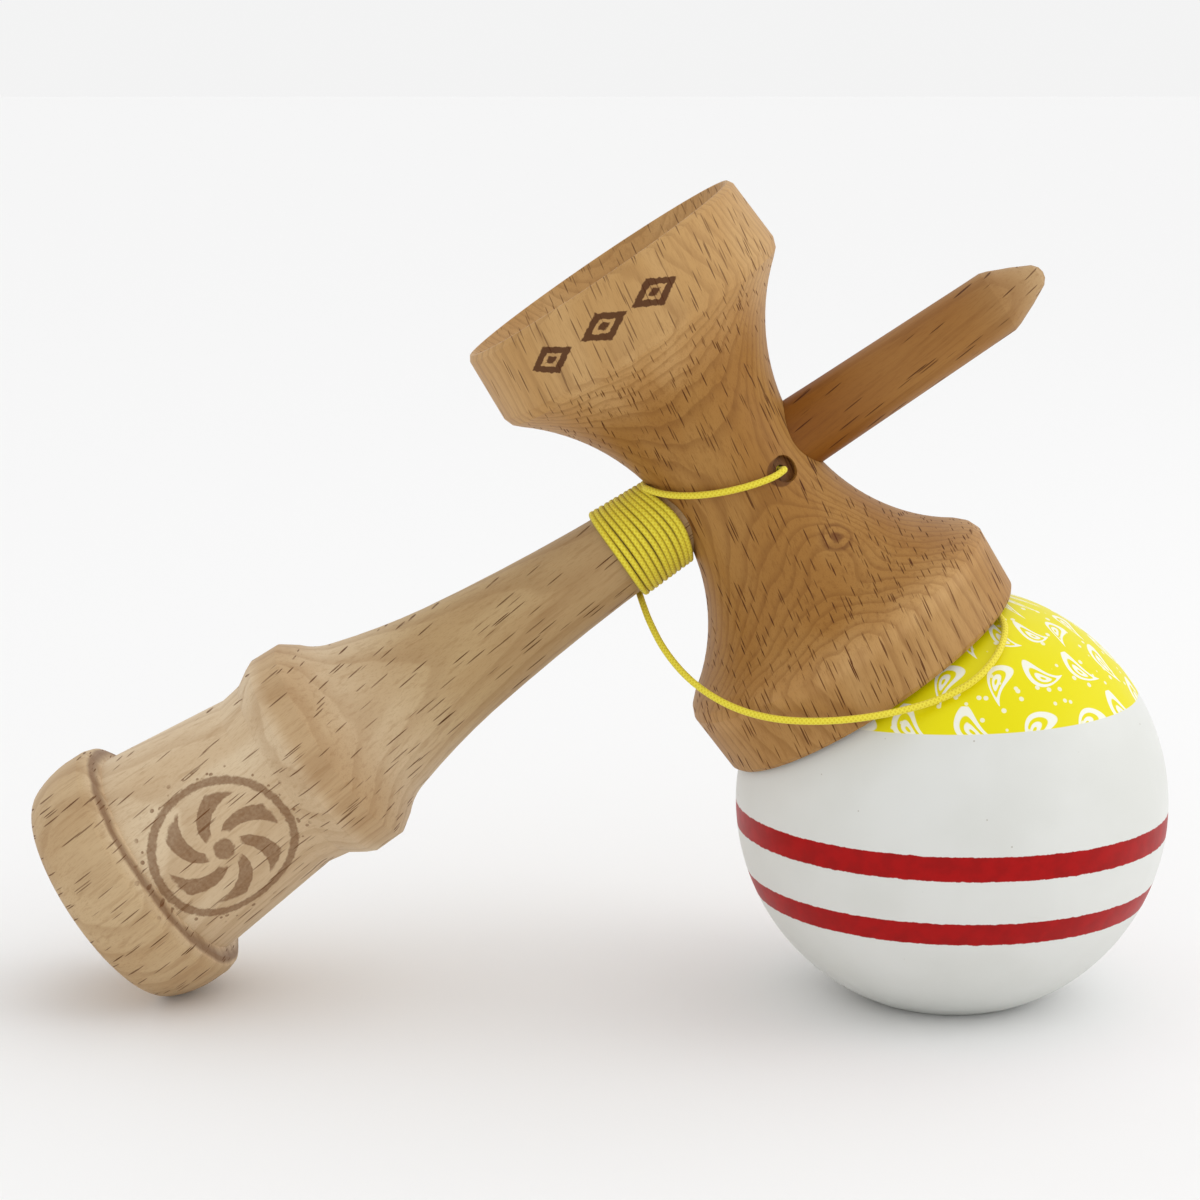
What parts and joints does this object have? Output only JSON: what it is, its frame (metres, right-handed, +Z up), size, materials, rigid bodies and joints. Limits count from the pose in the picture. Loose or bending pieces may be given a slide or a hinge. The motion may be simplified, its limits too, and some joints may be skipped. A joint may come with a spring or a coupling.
{
  "type": "kendama",
  "caption": "Turned wooden cup-and-ball toy: a spiked handle, a slip-on cross piece with a cup at each end, and a painted ball resting under it on a thin wound string.",
  "frame": {"origin": "on the ground under the middle of the resting object", "axes": "+X along the ground from the base cup to the ball, +Y away from the side the string leaves, +Z up"},
  "size_m": [0.1608, 0.061, 0.1154],
  "materials": {
    "ken_beech": "pale beech, oiled, with fine dark flecks and burnt lines",
    "sarado_beech": "golden beech, oiled, grain along the cup-to-cup axis",
    "ball_paint": "wood painted glossy: yellow cap, white below, red bands and a small printed pattern",
    "bead_wood": "plain",
    "string": "thin yellow braid"
  },
  "bodies": {
    "ken": {"ken": "ken_beech"},
    "sarado": {"sarado": "sarado_beech", "sarado_knot": "string", "string_bridge": "string", "string_coil": "string"},
    "string_end": {"bead": "bead_wood", "bead_knot": "string", "string_loop": "string", "string_in_tama": "string"},
    "tama": {"tama": "ball_paint"}
  },
  "joints": [
    {"name": "sarado_slide", "type": "slide", "parent": "ken", "child": "sarado", "axis": [0.8289, 0, 0.5593], "range_m": [0, 0.075]},
    {"name": "tama_release", "type": "slide", "parent": "sarado", "child": "string_end", "axis": [0.5593, 0, -0.8289], "range_m": [0, 0.02], "deforming": ["string_loop"]},
    {"name": "tama_spin", "type": "hinge", "parent": "string_end", "child": "tama", "pos_m": [0.0499, 0, 0.02804], "axis": [0, 0, 1], "continuous": true}
  ]
}
